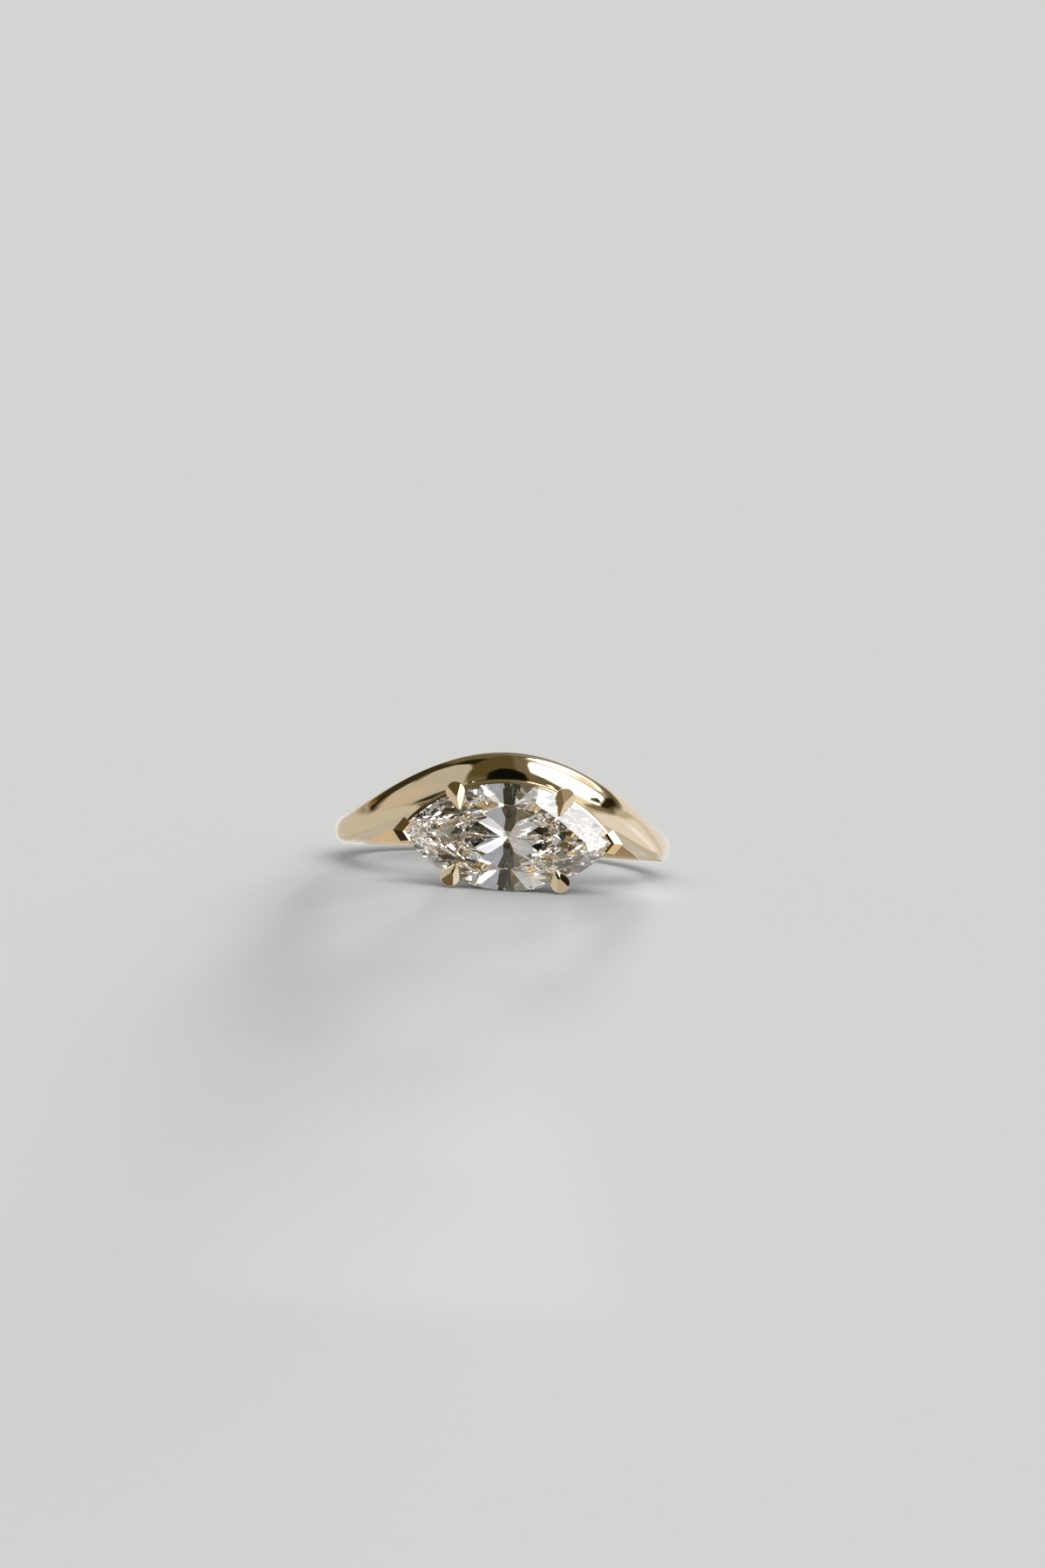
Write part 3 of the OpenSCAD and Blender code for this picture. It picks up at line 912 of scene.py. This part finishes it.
def room(name, panels, within):
    """Room painted with what is reflected: for the metal, or for rays that leave the stone."""
    obj = sphere(name)
    paint = obj.data.color_attributes.new("light", "FLOAT_COLOR", "POINT")
    paint.data.foreach_set("color", painted(panels).astype(np.float32).ravel())
    obj.data.materials.append(glow_material(name))
    obj.visible_camera = False
    obj.visible_diffuse = False
    obj.visible_shadow = False
    obj.visible_glossy = not within
    obj.visible_transmission = within


# Light on the floor

AMBIENT = 0.3  # even light from all round
BACKGROUND = (0.658, 0.658, 0.648)  # seen past the floor's edge
# Name, where it stands as (azimuth, height), its strength, and how wide it looks in degrees
SUNS = [
    ("window_light", (28, 55), 1.0, 60),
    ("low_light", (174, 3), 8.25, 5),
    ("low_side_light", (167, 5), 2.7, 8),
    ("side_light", (150, 14), 0.65, 24),
]
# Name, middle as (across, depth), size across and in depth, and brightness in watts per square metre
THROWN = [
    ("thrown_right", (7.0, -2), (3, 18), 1.6),
    ("thrown_middle", (-1.8, -28), (9, 38), 0.5),
    ("thrown_left", (-6, -4), (4.5, 10), 1.5),
    ("thrown_front", (-7, -42), (3.5, 14), 0.3),
    ("thrown_far", (-4, -62.5), (9.5, 31), 0.42),
    ("thrown_farther", (-5.5, -94), (12, 32), 0.3),
    ("thrown_farthest", (-6, -126), (15, 32), 0.2),
]
THROWN_Z = 3  # height of these lamps above the floor


def world():
    """Even soft light on the floor, and a plain ground of the floor's own tone past its edge."""
    scene = bpy.context.scene
    scene.world = bpy.data.worlds.new("studio")
    scene.world.use_nodes = True
    tree = scene.world.node_tree
    ambient = tree.nodes["Background"]
    ambient.inputs["Color"].default_value = (AMBIENT, AMBIENT, AMBIENT, 1)
    plain = tree.nodes.new("ShaderNodeBackground")
    plain.inputs["Color"].default_value = (*BACKGROUND, 1)
    seen = tree.nodes.new("ShaderNodeMixShader")
    path = tree.nodes.new("ShaderNodeLightPath")
    tree.links.new(path.outputs["Is Camera Ray"], seen.inputs["Fac"])
    tree.links.new(ambient.outputs["Background"], seen.inputs[1])
    tree.links.new(plain.outputs["Background"], seen.inputs[2])
    tree.links.new(seen.outputs["Shader"], tree.nodes["World Output"].inputs["Surface"])


def lamp(name, kind):
    """Lamp that lights the paper, and that neither the gold nor the stone shows."""
    obj = linked(name, bpy.data.lights.new(name, kind))
    obj.visible_glossy = False
    obj.visible_transmission = False
    return obj


def suns():
    """Wide light from high at the front right, and low light from behind that lays the shadow in front."""
    for name, stands, strength, width in SUNS:
        obj = lamp(name, "SUN")
        obj.data.energy = strength
        obj.data.angle = math.radians(width)
        obj.matrix_world = direction(*stands).to_track_quat("Z", "Y").to_matrix().to_4x4()


def thrown_light():
    """Soft light that the gold and the stone throw on the paper in front of the ring."""
    for name, (x, y), (across, deep), brightness in THROWN:
        obj = lamp(name, "AREA")
        obj.data.shape = "RECTANGLE"
        obj.data.size = across * MM
        obj.data.size_y = deep * MM
        obj.data.energy = brightness * obj.data.size * obj.data.size_y
        obj.data.use_shadow = False
        obj.location = (x * MM, y * MM, THROWN_Z * MM)
        obj.visible_camera = False


# Camera

VIEW_DISTANCE = 350  # from the stone
PHOTO_SIZE = (1200, 1800)
STONE_AT = (583, 961)  # the stone's middle in the photo, in pixels from its upper left corner
PIXELS_PER_MM = 20.13
SENSOR = 36  # height of the film
YAW = math.radians(1.6)  # how far the camera looks past the stone's normal, along its length
ROLL = math.radians(3.5)
NEAR = 10
FAR = 10000


def camera():
    """Looks straight down on the stone, placed so that the stone lies where the photo has it."""
    focal = PIXELS_PER_MM * VIEW_DISTANCE
    data = bpy.data.cameras.new("camera")
    data.sensor_fit = "VERTICAL"
    data.sensor_height = SENSOR
    data.lens = SENSOR * focal / PHOTO_SIZE[1]
    data.clip_start = NEAR * MM
    data.clip_end = FAR * MM
    obj = linked("camera", data)
    turn = HEAD.to_3x3()
    right0 = Vector((math.cos(YAW), 0, math.sin(YAW)))
    up0 = Vector((0, 1, 0))
    back = turn @ Vector((-math.sin(YAW), 0, math.cos(YAW)))
    right = turn @ (right0 * math.cos(ROLL) + up0 * math.sin(ROLL))
    up = turn @ (up0 * math.cos(ROLL) - right0 * math.sin(ROLL))
    target = HEAD @ Vector((0, 0, GIRDLE_R))
    off_x = (STONE_AT[0] - PHOTO_SIZE[0] / 2) / PIXELS_PER_MM
    off_y = (PHOTO_SIZE[1] / 2 - STONE_AT[1]) / PIXELS_PER_MM
    place_at = (target - right * off_x - up * off_y + back * VIEW_DISTANCE) * MM
    rotation = Matrix((right, up, back)).transposed().to_4x4()
    obj.matrix_world = Matrix.Translation(place_at) @ rotation
    bpy.context.scene.camera = obj


# A ray is reflected many times within the stone before it comes out
BOUNCES = 48


def render_settings():
    """Plain colours, and light that may be reflected often but isn't gathered behind the stone."""
    scene = bpy.context.scene
    scene.view_settings.view_transform = "Standard"
    scene.cycles.max_bounces = BOUNCES
    scene.cycles.transmission_bounces = BOUNCES
    scene.cycles.glossy_bounces = BOUNCES
    scene.cycles.caustics_refractive = False
    scene.cycles.caustics_reflective = False


# The whole ring, its stage and its light

ENDS = (("left", -1), ("right", 1))

band()
marquise_wire("upper_rail", RAIL)
marquise_wire("base_rail", BASE)
for level, across, tip in (("upper", 1, UPPER_TIP), ("lower", -1, LOWER_TIP)):
    for end, side in ENDS:
        claw(f"claw_{level}_{end}", side, across, tip)
for end, side in ENDS:
    v_prong(f"v_prong_{end}", side)
diamond()
floor()
room("room", PANELS, within=False)
room("room_in_stone", PANELS + STONE_PANELS, within=True)
world()
suns()
thrown_light()
camera()
render_settings()
